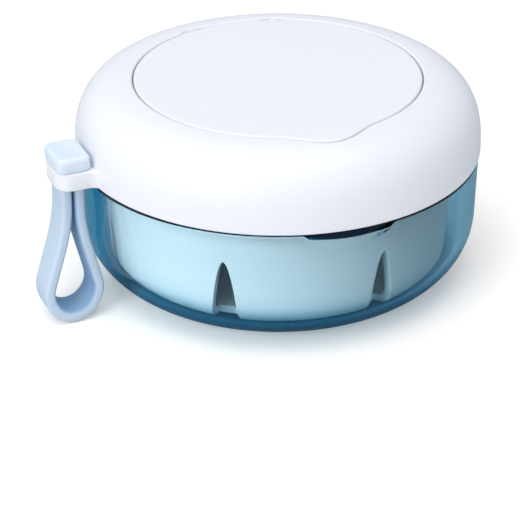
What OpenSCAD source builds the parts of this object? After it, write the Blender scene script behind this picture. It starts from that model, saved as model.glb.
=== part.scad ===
// Round denture case: a clear cup with a strainer basket hung in its neck, a domed lid
// with a mirror that flips up out of its top, and a moulded silicone carrying strap.
// Millimetres, +Z up, origin at the centre of the foot. The thumb tab of the mirror and
// the thumb notch of the cup face -Y, the mirror's hinge faces +Y, the strap is near -X.

/* [Case] */
// Height of the closed case
case_h = 48.3; // [46:0.1:54]
// Outer diameter of the lid
lid_d = 95; // [92:0.5:104]
// Height of the lid from its lower edge to its top
lid_h = 16.95; // [16:0.05:20]

/* [Cup] */
// How far the cup's rim stands in from the lid's side
cup_inset = 0.35; // [0.2:0.05:0.8]
// How much the cup narrows from its rim to its rounded corner
cup_draft = 0.35; // [0.1:0.05:1]
// Radius of the rounded corner between side and foot
cup_corner = 16; // [12:0.5:20]
// Thickness of the side wall
cup_wall = 3.75; // [3.2:0.05:4.2]
// Thickness of the floor
cup_floor = 2.8; // [2:0.1:3.4]
// Radius of the corner inside the cup
cup_inner_corner = 11.7; // [10:0.1:13]
// Gap between the lid's lower edge and the cup's ledge
rim_gap = 0.45; // [0.3:0.05:0.9]
// Width of the ledge round the neck
ledge_w = 2.25; // [1.9:0.05:2.6]
// How far the neck stands up past the lid's lower edge
neck_rise = 3.25; // [2.6:0.05:4]
// Rounding of the ledge's outer edge
rim_round = 0.4; // [0.2:0.05:0.6]

/* [Thumb notch] */
// Width of the notch in the cup's rim
notch_w = 22; // [18:0.5:26]
// How far the ledge dips in the middle of the notch
notch_h = 1.95; // [1.4:0.05:2.2]
// Width of the sloped thumb facet below it
facet_w = 20; // [16:0.5:21]
// Height of the facet in its middle
facet_h = 2.05; // [1.4:0.05:2.6]
// How far the facet cuts into the rim
facet_in = 1.1; // [0.8:0.05:1.2]

/* [Seal ring] */
// Height of the ring
seal_h = 1.6; // [1:0.1:2]
// Width of the ring
seal_w = 1.2; // [0.8:0.1:1.4]
// Rounding of the ring's outer edges
seal_round = 0.35; // [0.1:0.05:0.4]
// Room between the ring and the lid
seal_room = 0.3; // [0.2:0.05:0.5]

/* [Strainer basket] */
// Gap between the basket's side and the neck
basket_gap = 2; // [1.8:0.1:4.2]
// How much the basket narrows towards its floor
basket_draft = 1.4; // [0.5:0.1:2.4]
// Wall of the basket
basket_wall = 2.2; // [1.4:0.1:2.6]
// Floor of the basket
basket_floor = 2; // [1.4:0.1:2.6]
// Height of the basket's underside over the cup's floor
basket_lift = 1.2; // [0.8:0.1:3]
// Radius of the basket's rounded corner
basket_corner = 6; // [4.5:0.1:6.5]
// Thickness of the flange that hangs on the neck
flange_t = 1.6; // [1.2:0.1:2.2]
// How far the flange stays inside the neck's outer side
flange_inset = 0.3; // [0.2:0.1:1]
// Number of drain slots
slots = 7; // [4:1:9]
// Height of a slot from the basket's underside to its pointed top
slot_h = 17; // [10:0.5:20]
// Width of a slot at the bottom
slot_w = 6.6; // [4:0.2:9]
// How far a slot cuts into the floor from the side
slot_reach = 5.9; // [5:0.1:9]
// Turn of the slots about the basket's axis, from the front
slot_turn = 14.7; // [0:0.1:50]

/* [Lid shell] */
// Wall of the domed top
lid_wall = 2.3; // [2:0.1:2.8]
// Thickness of the lower skirt
skirt_wall = 2.3; // [2.1:0.05:2.4]
// Radius where the shoulder starts to curve down
shoulder_r = 31.7; // [30:0.1:32.5]
// How square the shoulder curve is; 2 is an ellipse
shoulder_square = 2.75; // [2.4:0.05:3.4]
// Straight band at the lid's lower edge
lid_band = 0.55; // [0.3:0.05:1.5]
// Thickness of the floor of the mirror well
well_floor = 1.6; // [1.2:0.1:2.2]
// Wall round the mirror well, under the lid's top
well_wall = 2.2; // [1.6:0.1:3]

/* [Lid liner] */
// Thickness of the liner plate
liner_t = 1.8; // [1.4:0.1:2.4]
// Width of the step that the liner rests against
liner_seat = 1; // [0.6:0.1:1.4]
// Clearance between the liner and the skirt
liner_gap = 0.1; // [0.05:0.05:0.3]
// Height of the ring that centres the basket
locator_h = 2.2; // [1.2:0.1:3]
// Wall of that ring
locator_wall = 1.5; // [1:0.1:2]
// Gap between that ring and the basket
locator_gap = 0.6; // [0.4:0.1:1.5]

/* [Mirror flap] */
// Diameter of the round flap
flap_d = 66.8; // [66:0.2:67.6]
// Gap of the seam round the flap
seam = 0.35; // [0.3:0.05:0.6]
// Thickness of the flap's plate
flap_t = 1.8; // [1.8:0.1:2.4]
// Rounding of the flap's top edge
flap_round = 0.5; // [0.4:0.05:0.6]
// How far the thumb tab stands out of the flap
tab_reach = 3.4; // [2:0.1:4]
// Half of the angle over which the tab swells out
tab_angle = 21; // [14:1:26]
// Thickness of the tab
tab_t = 1.1; // [0.8:0.05:1.3]
// Gap under the flap where it rests
flap_rest = 0.3; // [0.2:0.05:0.5]
// Wall of the rim that frames the mirror
frame_wall = 2; // [1.2:0.1:2.2]
// How far that rim stands out past the mirror's face
frame_lip = 0.2; // [0.1:0.05:0.5]
// Gap between that rim and the well
frame_gap = 0.6; // [0.5:0.1:1]

/* [Mirror] */
// Diameter of the glass
mirror_d = 58; // [50:0.5:58.5]
// Thickness of the glass
mirror_t = 1.5; // [1:0.1:2]
// Gap round the glass
mirror_gap = 0.3; // [0.1:0.05:0.5]
// Thickness of the adhesive disc
tape_t = 0.3; // [0.1:0.05:0.4]
// How far the adhesive stays inside the glass
tape_inset = 1; // [0.5:0.5:3]

/* [Mirror hinge] */
// Diameter of the hinge pin
pin_d = 0.8; // [0.6:0.1:0.9]
// How far the pin's axis lies below the top
pin_depth = 0.8; // [0.8:0.05:0.95]
// How far the pin's axis lies inside the flap's edge
pin_inset = 1.2; // [1.1:0.05:1.4]
// Running clearance of the pin in the flap
pin_run = 0.05; // [0.02:0.01:0.1]
// Clearance of the pin in the lid
pin_seat = 0.01; // [0.01:0.01:0.03]
// Length of each end that sits in the lid
pin_hold = 3.4; // [2:0.2:4.4]
// Height of the throat that the pin snaps through
throat_h = 0.6; // [0.4:0.05:0.7]
// Room round the flap as it turns
turn_room = 0.2; // [0.15:0.05:0.4]

/* [Strap lug] */
// Direction of the lug, counter-clockwise from +X
lug_angle = 184; // [170:1:190]
// How far the lug stands out of the lid
lug_reach = 8.5; // [8.3:0.1:11]
// Width of the lug
lug_w = 12; // [11.4:0.2:15]
// Height of the lug's top over the lid's lower edge
lug_t = 4.4; // [3:0.1:6]
// Height of the lug's underside over the lid's lower edge
lug_rise = 0.1; // [0.1:0.1:1]
// Radius of the lug's outer corners
lug_corner = 3.6; // [2:0.1:4]
// Fillet between the lug and the lid
lug_fillet = 2.8; // [1:0.1:3]
// Clearance of the strap's neck in the lug's slot
slot_clear = 0.3; // [0.2:0.05:0.5]

/* [Strap] */
// Wall of the lug on each side of the strap's slot
lug_wall = 1.5; // [1.2:0.1:3]
// Thickness of the band
strap_t = 2.5; // [2:0.05:2.5]
// Thickness of the neck that passes the lug
neck_t = 4.8; // [4:0.1:5]
// Distance of the strap's middle from the lid's side
strap_out = 4.6; // [4.4:0.1:5]
// Outer radius of the loop's round end
loop_r = 7.1; // [6.6:0.05:7.2]
// Spread of the loop's sides, from the strap's middle line
loop_flare = 17.5; // [14:0.5:22]
// Radius of the curve that brings the sides together
loop_blend = 34; // [15:1:45]
// Half width of the two sides lying together
legs_half = 2.75; // [2.6:0.05:3.2]
// Gap between the loop and the table
loop_rest = 0.15; // [0.1:0.05:1]
// Lean of the hanging loop towards the front
loop_lean = 12.8; // [6:0.1:14]
// Tilt of the hanging loop away from the cup
loop_tilt = 6.2; // [5.8:0.1:7.5]
// Clearance at the strap's flex point
flex_gap = 0.1; // [0.05:0.01:0.1]

/* [Strap head] */
// Size of the head along the lug
head_l = 8; // [7.2:0.1:8.2]
// Size of the head across the lug
head_w = 11.6; // [10:0.1:13]
// Height of the head
head_h = 3.6; // [2.5:0.1:5]
// Gap between the head and the lid's side
head_gap = 0.4; // [0.2:0.1:1]
// Radius of the head's upright corners
head_corner = 2; // [1.4:0.1:3]
// Bevel round the head's top
head_bevel = 1.2; // [0.6:0.1:1.3]

/* [Hidden] */
$fn = 96;

eps = 0.01;                              // overshoot of a cut past a face
far = 200;                               // longer than the case, for open cuts
curve_steps = 20;                        // straight steps in a free curve

// Levels, from the table up
lid_edge = case_h - lid_h;               // lower edge of the lid
ledge_z = lid_edge - rim_gap;            // ledge of the cup
neck_top = lid_edge + neck_rise;
flange_top = neck_top + flange_t;
liner_top = flange_top + liner_t;
basket_z = cup_floor + basket_lift;
flap_z = case_h - flap_t;                // underside of the flap's plate
rest_z = flap_z - flap_rest;             // step that the flap rests on
mirror_z = flap_z - tape_t - mirror_t;   // face of the mirror
frame_z = mirror_z - frame_lip;
well_z = frame_z - flap_rest;            // floor of the mirror well
well_under = well_z - well_floor;
tab_z = case_h - tab_t;                  // underside of the tab
pin_z = case_h - pin_depth;

// Radii, from the outside in
lid_r = lid_d / 2;
cup_rim_r = lid_r - cup_inset;
cup_side_r = cup_rim_r - cup_draft;
cup_foot_r = cup_side_r - cup_corner;
cup_in_r = cup_rim_r - cup_wall;
cup_core_r = cup_in_r - cup_draft;
neck_r = cup_rim_r - ledge_w;
skirt_r = lid_r - skirt_wall;
cavity_r = skirt_r - liner_seat;
seal_fit = 0.05;                         // the ring is a snug fit on the neck
seal_in_r = neck_r + seal_fit;
seal_out_r = seal_in_r + seal_w;
basket_r = cup_in_r - basket_gap;
basket_low_r = basket_r - basket_draft;
flange_r = neck_r - flange_inset;
flap_r = flap_d / 2;
recess_r = flap_r + seam;
mirror_r = mirror_d / 2;
frame_in_r = mirror_r + mirror_gap;
frame_out_r = frame_in_r + frame_wall;
well_r = frame_out_r + frame_gap;
locator_r = basket_r - basket_wall - locator_gap;

// Mirror hinge
pin_r = pin_d / 2;
pin_y = flap_r - pin_inset;
pin_cover = 0.55;                        // least wall between the pin and the recess
bearing_x = sqrt(pow(recess_r, 2) - pow(pin_y - pin_r - pin_cover, 2));
pin_half = bearing_x + pin_hold;
swing_r = sqrt(pow(pin_inset, 2) + pow(flap_t - pin_depth, 2)) + turn_room;
swing_half = sqrt(pow(recess_r, 2) - pow(pin_y, 2)) + turn_room;

// Strap, in the lug's own frame: x out of the lid, y towards the front
strap_x = lid_r + strap_out;
lug_end = lid_r + lug_reach;
lug_top = lid_edge + lug_t;
lug_under = lid_edge + lug_rise;
stub_r = neck_t / 2;
stub_drop = 0.5;                         // from the lug down to the round stub
flex_z = lid_edge - stub_r - stub_drop;  // axis that the loop swings about
socket_r = stub_r + flex_gap;
legs_top = 2.1;                          // the loop starts this far under the axis
web_half = 1.2;                          // half of the neck over the axis
eye_top = socket_r + 1.3;                // the loop's eye starts this far under the axis
strap_w = lug_w - 2 * (lug_wall + slot_clear);
loop_drop = (flex_z - loop_rest - strap_w / 2 * sin(loop_lean))
          / (cos(loop_lean) * cos(loop_tilt));
loop_mid = loop_drop - loop_r;           // from the axis down to the round end's centre
head_in = lid_r + head_gap;              // side of the head next to the lid

function reverse(list) = [for (i = [len(list) - 1 : -1 : 0]) list[i]];

// Shoulder curve from the flat top (r0, z1) out and down to the side (r1, z0)
function shoulder(r0, r1, z0, z1) =
    [for (i = [0 : curve_steps]) let (a = 90 * i / curve_steps)
        [r0 + (r1 - r0) * pow(sin(a), 2 / shoulder_square),
         z0 + (z1 - z0) * pow(cos(a), 2 / shoulder_square)]];

// Lower half of an ellipse, from right to left
function scoop(half, deep) =
    [for (i = [0 : 2 * curve_steps]) let (a = 90 * i / curve_steps)
        [half * cos(a), -deep * sin(a)]];

// Outline of the flap's thumb tab, grown by a gap
function tab_outline(gap) = concat([[0, 0]],
    [for (i = [-curve_steps : curve_steps])
        let (a = tab_angle * i / curve_steps,
             r = flap_r - eps + gap + tab_reach * pow(cos(90 * i / curve_steps), 2))
        [r * sin(a), -r * cos(a)]]);

// Where the flared side would meet the straight legs, and how far the curve reaches
flare_top = (loop_r - legs_half * cos(loop_flare)) / sin(loop_flare);
blend_run = loop_blend * tan(loop_flare / 2);

// One side of the loop from its round end up, drawn in from the outline by a depth
function side_curve(deep) =
    let (r = loop_blend + deep, x0 = legs_half - deep)
    concat([[(loop_r - deep) * cos(loop_flare), (loop_r - deep) * sin(loop_flare)]],
        [for (i = [0 : curve_steps]) let (a = loop_flare * (1 - i / curve_steps))
            [x0 + r * (1 - cos(a)), flare_top + blend_run - r * sin(a)]],
        [[x0, loop_drop + loop_r]]);

module loop_outline(deep, top) {
    side = side_curve(deep);
    translate([0, -loop_mid]) {
        circle(r = loop_r - deep);
        intersection() {
            polygon(concat(side, [for (p = reverse(side)) [-p[0], p[1]]]));
            translate([-loop_r, 0]) square([2 * loop_r, loop_mid - top]);
        }
    }
}

// A quarter of a disc; sx and sy say which quarter
module quarter_disc(x, y, r, sx, sy) {
    translate([x, y]) intersection() {
        circle(r = r);
        translate([sx > 0 ? 0 : -r, sy > 0 ? 0 : -r]) square(r);
    }
}

module ring(r_in, r_out, z0, z1) {
    translate([0, 0, z0]) difference() {
        cylinder(r = r_out, h = z1 - z0);
        translate([0, 0, -eps]) cylinder(r = r_in, h = z1 - z0 + 2 * eps);
    }
}

module disc(r, z0, z1) {
    translate([0, 0, z0]) cylinder(r = r, h = z1 - z0);
}

// A rod along X on the hinge's axis
module hinge_rod(r, half) {
    translate([-half, pin_y, pin_z]) rotate([0, 90, 0]) cylinder(r = r, h = 2 * half);
}

// A plate with four round corners, in the lug's frame
module round_plate(x0, x1, half, r, z0, z1) {
    translate([0, 0, z0]) linear_extrude(height = z1 - z0) {
        translate([x0 + r, -half]) square([x1 - x0 - 2 * r, 2 * half]);
        translate([x0, r - half]) square([x1 - x0, 2 * (half - r)]);
        for (x = [x0 + r, x1 - r]) for (y = [half - r, r - half])
            translate([x, y]) circle(r = r);
    }
}

module block(x0, x1, half, z0, z1) {
    translate([x0, -half, z0]) cube([x1 - x0, 2 * half, z1 - z0]);
}

// Side view of a block whose two top edges are bevelled
module bevelled(w, h, bevel) {
    polygon([[0, 0], [w, 0], [w, h - bevel], [w - bevel, h], [bevel, h], [0, h - bevel]]);
}

module in_lug_frame() {
    rotate([0, 0, lug_angle]) children();
}

// ---- cup ----

module cup_outer() {
    rotate_extrude() {
        polygon([[0, 0], [cup_foot_r, 0], [cup_foot_r, cup_corner],
                 [cup_side_r, cup_corner], [cup_rim_r, ledge_z - rim_round],
                 [cup_rim_r - rim_round, ledge_z], [neck_r, ledge_z],
                 [neck_r, neck_top], [0, neck_top]]);
        quarter_disc(cup_foot_r, cup_corner, cup_corner, 1, -1);
        translate([cup_rim_r - rim_round, ledge_z - rim_round]) circle(r = rim_round);
    }
}

module cup_inner() {
    low_r = cup_core_r - cup_inner_corner;
    corner_z = cup_floor + cup_inner_corner;
    rotate_extrude() {
        polygon([[0, cup_floor], [low_r, cup_floor], [low_r, corner_z],
                 [cup_core_r, corner_z], [cup_in_r, ledge_z],
                 [cup_in_r, neck_top + eps], [0, neck_top + eps]]);
        quarter_disc(low_r, corner_z, cup_inner_corner, 1, -1);
    }
}

// The dip in the ledge, from the axis out through the front
module ledge_dip() {
    translate([0, 0, ledge_z]) rotate([90, 0, 0]) linear_extrude(height = far)
        polygon(concat([[-notch_w / 2, 1], [notch_w / 2, 1]], scoop(notch_w / 2, notch_h)));
}

// The dipped ledge and, below it, a flat facet that slopes down and out to the side
module thumb_notch() {
    dip_z = ledge_z - notch_h;
    slope = facet_in / facet_h;
    difference() {
        union() {
            ledge_dip();
            translate([-facet_w / 2, 0, dip_z]) rotate([90, 0, 90])
                linear_extrude(height = facet_w)
                polygon([[-cup_rim_r - 2 * facet_in, -3 * facet_h],
                         [facet_in - cup_rim_r + notch_h * slope, notch_h],
                         [-cup_rim_r - 2 * facet_in, notch_h]]);
        }
        cylinder(r = neck_r, h = far);
    }
}

module base_cup() {
    color("lightskyblue", 0.5) difference() {
        cup_outer();
        cup_inner();
        thumb_notch();
    }
}

// The ring and the apron that fills the dip in the ledge
module seal_ring() {
    color("midnightblue") {
        rotate_extrude() {
            translate([seal_in_r, ledge_z]) square([seal_w - seal_round, seal_h]);
            translate([seal_in_r, ledge_z + seal_round])
                square([seal_w, seal_h - 2 * seal_round]);
            for (z = [seal_round, seal_h - seal_round])
                translate([seal_out_r - seal_round, ledge_z + z]) circle(r = seal_round);
        }
        intersection() {
            ledge_dip();
            ring(seal_in_r, seal_out_r, ledge_z - notch_h - 1, ledge_z + seal_h / 2);
        }
    }
}

// ---- basket ----

// Side and floor of the basket, drawn in from the outside by a depth
module basket_body(side, floor, top) {
    corner = basket_corner - floor;
    low_r = basket_low_r - side - corner;
    corner_z = basket_z + basket_corner;
    rotate_extrude() {
        polygon([[0, basket_z + floor], [low_r, basket_z + floor], [low_r, corner_z],
                 [basket_low_r - side, corner_z], [basket_r - side, neck_top],
                 [basket_r - side, top], [0, top]]);
        quarter_disc(low_r, corner_z, corner, 1, -1);
    }
}

// One drain slot: a pointed arch through the wall that also notches the floor
module drain_slot() {
    translate([0, -(basket_low_r - slot_reach), basket_z]) rotate([90, 0, 0])
        linear_extrude(height = far) polygon(concat(
            [[slot_w / 2, -eps], [-slot_w / 2, -eps]],
            [for (i = [-curve_steps : curve_steps]) let (x = i / curve_steps)
                [x * slot_w / 2, slot_h * (1 - pow(x, 2))]]));
}

module strainer_basket() {
    color("white") difference() {
        union() {
            basket_body(0, 0, flange_top);
            disc(flange_r, neck_top, flange_top);
        }
        basket_body(basket_wall, basket_floor, flange_top + eps);
        for (i = [0 : slots - 1])
            rotate([0, 0, slot_turn + 360 * i / slots]) drain_slot();
    }
}

// ---- lid ----

module dome(r1, z0, z1) {
    rotate_extrude() polygon(concat(
        [[0, lid_edge], [r1, lid_edge]], reverse(shoulder(shoulder_r, r1, z0, z1)),
        [[0, z1]]));
}

module lid_body() {
    difference() {
        dome(lid_r, lid_edge + lid_band, case_h);
        dome(cavity_r, lid_edge + lid_band, case_h - lid_wall);
    }
    disc(recess_r + well_wall, well_under, case_h - lid_wall / 2);
}

// The lug and, on each side, the fillet between it and the lid
module lug() {
    fillet_y = lug_w / 2 + lug_fillet;
    fillet_x = sqrt(pow(lid_r + lug_fillet, 2) - pow(fillet_y, 2));
    touch = lid_r / (lid_r + lug_fillet);
    in_lug_frame() difference() {
        union() {
            round_plate(cavity_r - lug_corner, lug_end, lug_w / 2, lug_corner,
                        lug_under, lug_top);
            for (side = [-1, 1]) translate([0, 0, lug_under])
                linear_extrude(height = lug_t - lug_rise) difference() {
                    polygon([[cavity_r, 0], [touch * fillet_x - 1, side * lug_w / 2],
                             [touch * fillet_x, side * touch * fillet_y],
                             [fillet_x, side * lug_w / 2], [fillet_x, 0]]);
                    translate([fillet_x, side * fillet_y]) circle(r = lug_fillet);
                }
        }
        block(strap_x - stub_r - slot_clear, strap_x + stub_r + slot_clear,
              strap_w / 2 + slot_clear, lid_edge - 1, lug_top + 1);
    }
}

// The flap's disc about its own axis, grown by a gap
module flap_disc(gap) {
    rotate_extrude() {
        translate([0, flap_z - gap])
            square([flap_r - flap_round, flap_t + 2 * gap]);
        translate([0, flap_z - gap])
            square([flap_r + gap, flap_t - flap_round + gap]);
        translate([flap_r - flap_round, case_h - flap_round])
            circle(r = flap_round + gap);
    }
}

// Space that the flap needs at the back while it opens to upright
module swing_space() {
    intersection() {
        hinge_rod(swing_r, swing_half);
        cylinder(r = recess_r, h = far);
    }
    translate([0, pin_y, pin_z]) rotate([-90, 0, 0]) translate([0, -pin_y, -pin_z])
        flap_disc(turn_room);
}

module lid_shell() {
    color("white") difference() {
        union() {
            lid_body();
            lug();
        }
        disc(skirt_r, lid_edge - eps, liner_top);
        disc(seal_out_r + seal_room, lid_edge - eps, ledge_z + seal_h + seal_room);
        disc(recess_r, rest_z, far);
        disc(well_r, well_z, far);
        translate([0, 0, tab_z - flap_rest]) linear_extrude(height = far)
            polygon(tab_outline(seam));
        swing_space();
        hinge_rod(pin_r + pin_seat, pin_half + flex_gap);
        translate([-pin_half, 0, pin_z - throat_h / 2])
            cube([2 * pin_half, pin_y, throat_h]);
    }
}

module lid_liner() {
    color("whitesmoke") {
        disc(skirt_r - liner_gap, flange_top, liner_top);
        ring(locator_r - locator_wall, locator_r, flange_top - locator_h,
             flange_top + eps);
    }
}

// ---- mirror flap ----

module mirror_flap() {
    color("white") difference() {
        union() {
            flap_disc(0);
            ring(frame_in_r, frame_out_r, frame_z, flap_z + eps);
            intersection() {
                translate([0, 0, tab_z]) linear_extrude(height = tab_t)
                    polygon(tab_outline(0));
                dome(lid_r, lid_edge + lid_band, case_h);
            }
        }
        hinge_rod(pin_r + pin_run, flap_r);
    }
}

module mirror_tape() {
    color("dimgray") disc(mirror_r - tape_inset, flap_z - tape_t, flap_z);
}

module mirror_glass() {
    color("silver") disc(mirror_r, mirror_z, flap_z - tape_t);
}

module hinge_pin() {
    color("gray") hinge_rod(pin_r, pin_half);
}

// ---- strap ----

// The head on the lug, bevelled round its top
module head_block() {
    intersection() {
        round_plate(head_in, head_in + head_l, head_w / 2, head_corner,
                    lug_top, lug_top + head_h);
        translate([head_in, head_w / 2, lug_top]) rotate([90, 0, 0])
            linear_extrude(height = head_w) bevelled(head_l, head_h, head_bevel);
        translate([head_in, -head_w / 2, lug_top]) rotate([90, 0, 90])
            linear_extrude(height = head_l) bevelled(head_w, head_h, head_bevel);
    }
}

module strap_head() {
    color("aliceblue") in_lug_frame() {
        head_block();
        block(strap_x - stub_r, strap_x + stub_r, strap_w / 2, lug_under, lug_top + eps);
        block(strap_x - web_half, strap_x + web_half, strap_w / 2, flex_z, lug_top);
        translate([strap_x, strap_w / 2, flex_z]) rotate([90, 0, 0])
            cylinder(r = stub_r, h = strap_w);
    }
}

module strap_loop() {
    color("lightblue") in_lug_frame() translate([strap_x, 0, flex_z]) difference() {
        rotate([loop_lean, -loop_tilt, 0])
            translate([0, strap_w / 2, 0]) rotate([90, 0, 0])
            linear_extrude(height = strap_w) difference() {
                loop_outline(0, legs_top);
                loop_outline(strap_t, eye_top);
            }
        translate([0, strap_w, 0]) rotate([90, 0, 0])
            cylinder(r = socket_r, h = 2 * strap_w);
    }
}

base_cup();
seal_ring();
strainer_basket();
lid_shell();
lid_liner();
mirror_flap();
mirror_tape();
mirror_glass();
hinge_pin();
strap_head();
strap_loop();
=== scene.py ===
"""Round denture case: clear blue cup, white strainer basket, domed lid with a mirror flap, silicone strap."""

from math import atan2, cos, degrees, pi, radians, sin, sqrt, tan

import bmesh
import bpy
from mathutils import Matrix, Vector


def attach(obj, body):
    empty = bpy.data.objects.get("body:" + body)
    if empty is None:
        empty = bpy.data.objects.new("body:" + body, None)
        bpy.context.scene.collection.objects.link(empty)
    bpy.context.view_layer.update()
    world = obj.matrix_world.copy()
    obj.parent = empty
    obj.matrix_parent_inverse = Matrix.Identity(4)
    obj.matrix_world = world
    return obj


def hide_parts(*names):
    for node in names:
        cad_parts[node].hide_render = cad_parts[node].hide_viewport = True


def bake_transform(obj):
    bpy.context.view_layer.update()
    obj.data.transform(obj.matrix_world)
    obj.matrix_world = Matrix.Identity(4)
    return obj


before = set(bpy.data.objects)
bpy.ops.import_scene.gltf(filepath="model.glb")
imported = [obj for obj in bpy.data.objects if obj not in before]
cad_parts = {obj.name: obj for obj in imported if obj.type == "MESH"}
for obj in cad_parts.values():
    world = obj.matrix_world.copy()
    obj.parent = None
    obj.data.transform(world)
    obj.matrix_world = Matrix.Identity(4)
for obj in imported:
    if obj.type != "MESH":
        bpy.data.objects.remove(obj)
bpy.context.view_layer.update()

MM = 0.001

# ---- sizes in millimetres, as in the part's source ----
CASE_H, LID_R, LID_EDGE = 48.3, 47.5, 31.35
SHOULDER_R, SHOULDER_SQUARE, LID_BAND = 31.7, 2.75, 0.55
LEDGE_Z, CUP_RIM_R, CUP_SIDE_R, CUP_CORNER, CUP_FOOT_R = 30.9, 47.15, 46.8, 16.0, 30.8
CUP_IN_R, CUP_CORE_R, CUP_FLOOR, CUP_INNER_CORNER = 43.4, 43.05, 2.8, 11.7
NECK_R, NECK_TOP, RIM_ROUND = 44.9, 34.6, 0.4
NOTCH_HALF, NOTCH_DIP, NOTCH_FACET_Z = 11.0, 1.95, 26.9
SEAL_IN_R, SEAL_OUT_R, SEAL_H, SEAL_ROUND, SEAL_ROOM = 44.95, 46.15, 1.6, 0.35, 0.3
BASKET_R, BASKET_LOW_R, BASKET_Z, BASKET_WALL, BASKET_FLOOR = 41.4, 40.0, 4.0, 2.2, 2.0
BASKET_CORNER, FLANGE_R, FLANGE_TOP = 6.0, 44.6, 36.2
SLOTS, SLOT_H, SLOT_W, SLOT_REACH, SLOT_TURN = 7, 17.0, 6.6, 5.9, 14.7
SKIRT_R, CAVITY_R, LINER_TOP, LID_WALL = 45.2, 44.2, 38.0, 2.3
LOCATOR_R, LOCATOR_WALL, LOCATOR_H, LINER_GAP = 38.6, 1.5, 2.2, 0.1
FLAP_R, SEAM, FLAP_T, FLAP_ROUND, FLAP_REST = 33.4, 0.35, 1.8, 0.5, 0.3
TAB_REACH, TAB_ANGLE, TAB_T = 3.4, 21.0, 1.1
FRAME_IN_R, FRAME_OUT_R, WELL_R, FRAME_LIP = 29.3, 31.3, 31.9, 0.2
MIRROR_R, MIRROR_T, TAPE_R, TAPE_T = 29.0, 1.5, 28.0, 0.3
WELL_FLOOR, WELL_WALL = 1.6, 2.2
PIN_R, PIN_Y, PIN_Z, PIN_HALF, TURN_ROOM = 0.4, 32.2, 47.5, 16.15, 0.2
LUG_ANGLE, LUG_END, LUG_HALF, LUG_UNDER, LUG_TOP = 184.0, 56.0, 6.0, 31.45, 35.75
LUG_CORNER, LUG_FILLET, SLOT_CLEAR = 3.6, 2.8, 0.3
STRAP_X, STRAP_W, STRAP_T, NECK_T, FLEX_Z = 52.1, 8.4, 2.5, 4.8, 28.45
LOOP_R, LOOP_FLARE, LOOP_BLEND, LEGS_HALF = 7.1, 17.5, 34.0, 2.75
LOOP_LEAN, LOOP_TILT, LOOP_REST = 12.8, 6.2, 0.15
HEAD_IN, HEAD_L, HEAD_W, HEAD_H, HEAD_CORNER, HEAD_BEVEL = 47.9, 8.0, 11.6, 3.6, 2.0, 1.2

# ---- rounds and steps of the looks, in millimetres, and angles in degrees ----
FACET_CUT, FACET_START, FACET_RISE = 0.9, 1.3, 1.5         # how the thumb notch's facet leans in and begins
EDGE_ROUND, SEAM_ROUND, LUG_ROUND, LOOP_CORNER = 0.45, 0.4, 0.45, 0.9
CAVITY_LOW_R = 43.79                                       # the lid's inside where it meets the plate
CROWN_R = 37.9                                             # inside it the lid's top is drawn out to the seam
FLAT_R = 28.0                                              # the flap's plain middle
RELIEF_DEEP, RELIEF_END, RUN_OUT_START, RUN_OUT = 1.6, 25, 19.5, 5    # the room beside the hinge
PHOTO_RIGHT = (0.94, -0.34, 0)                             # the photo's right-hand side, in the case's frame

FLAP_Z = CASE_H - FLAP_T
MIRROR_Z = FLAP_Z - TAPE_T - MIRROR_T
FRAME_Z = MIRROR_Z - FRAME_LIP
WELL_Z = FRAME_Z - FLAP_REST
REST_Z = FLAP_Z - FLAP_REST
TAB_Z = CASE_H - TAB_T
RECESS_R = FLAP_R + SEAM


# ---- camera ----

def photo_camera():
    """The camera of the photograph, fitted to the ellipses of the lid, the seam and the foot."""
    away, height, turn = 439.94, 242.81, -20.0             # millimetres, and degrees about the case
    pitch, yaw, roll = 0.505594, -0.0096138, -0.0025456    # radians
    focal_px, photo_px = 2071.18, 520
    forward = Vector((sin(yaw) * cos(pitch), cos(yaw) * cos(pitch), -sin(pitch)))
    level = Vector((cos(yaw), -sin(yaw), 0))
    upright = level.cross(forward)
    right = cos(roll) * level + sin(roll) * upright
    up = -sin(roll) * level + cos(roll) * upright
    plan = Matrix.Rotation(radians(turn), 4, "Z")
    axes = Matrix((right, up, -forward)).transposed().to_4x4()
    data = bpy.data.cameras.new("photo_camera")
    data.sensor_width = 36
    data.lens = focal_px / photo_px * data.sensor_width
    data.clip_start, data.clip_end = 0.01, 20
    camera = bpy.data.objects.new("photo_camera", data)
    bpy.context.scene.collection.objects.link(camera)
    camera.matrix_world = Matrix.Translation(plan @ Vector((0, -away * MM, height * MM))) @ plan @ axes
    bpy.context.scene.camera = camera


photo_camera()


# ---- finishes ----

def node_maker(tree):
    """A function that adds a node to a tree, with its settings, and its inputs from values or other nodes."""
    def add(kind, inputs=None, **settings):
        node = tree.nodes.new(kind)
        for key, value in settings.items():
            setattr(node, key, value)
        for key, value in (inputs or {}).items():
            if isinstance(value, bpy.types.NodeSocket):
                tree.links.new(value, node.inputs[key])
            else:
                node.inputs[key].default_value = value
        return node

    return add


def new_material(name):
    material = bpy.data.materials.new(name)
    material.use_nodes = True
    material.node_tree.nodes.clear()
    return material, node_maker(material.node_tree)


def blended(add, factor, low, high):
    """A mix of two colours by a factor; each colour is three numbers or a node's output."""
    low, high = [c if isinstance(c, bpy.types.NodeSocket) else (*c, 1) for c in (low, high)]
    return add("ShaderNodeMix", {"Factor": factor, 6: low, 7: high}, data_type="RGBA").outputs[2]


def uneven(add, place, scale, low, high):
    """A value that wanders between two over the surface."""
    cloud = add("ShaderNodeTexNoise", {"Vector": place, "Scale": scale, "Detail": 2.0})
    spread = add("ShaderNodeMapRange", {"Value": cloud.outputs["Fac"], "To Min": low, "To Max": high})
    return spread.outputs["Result"]


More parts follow.
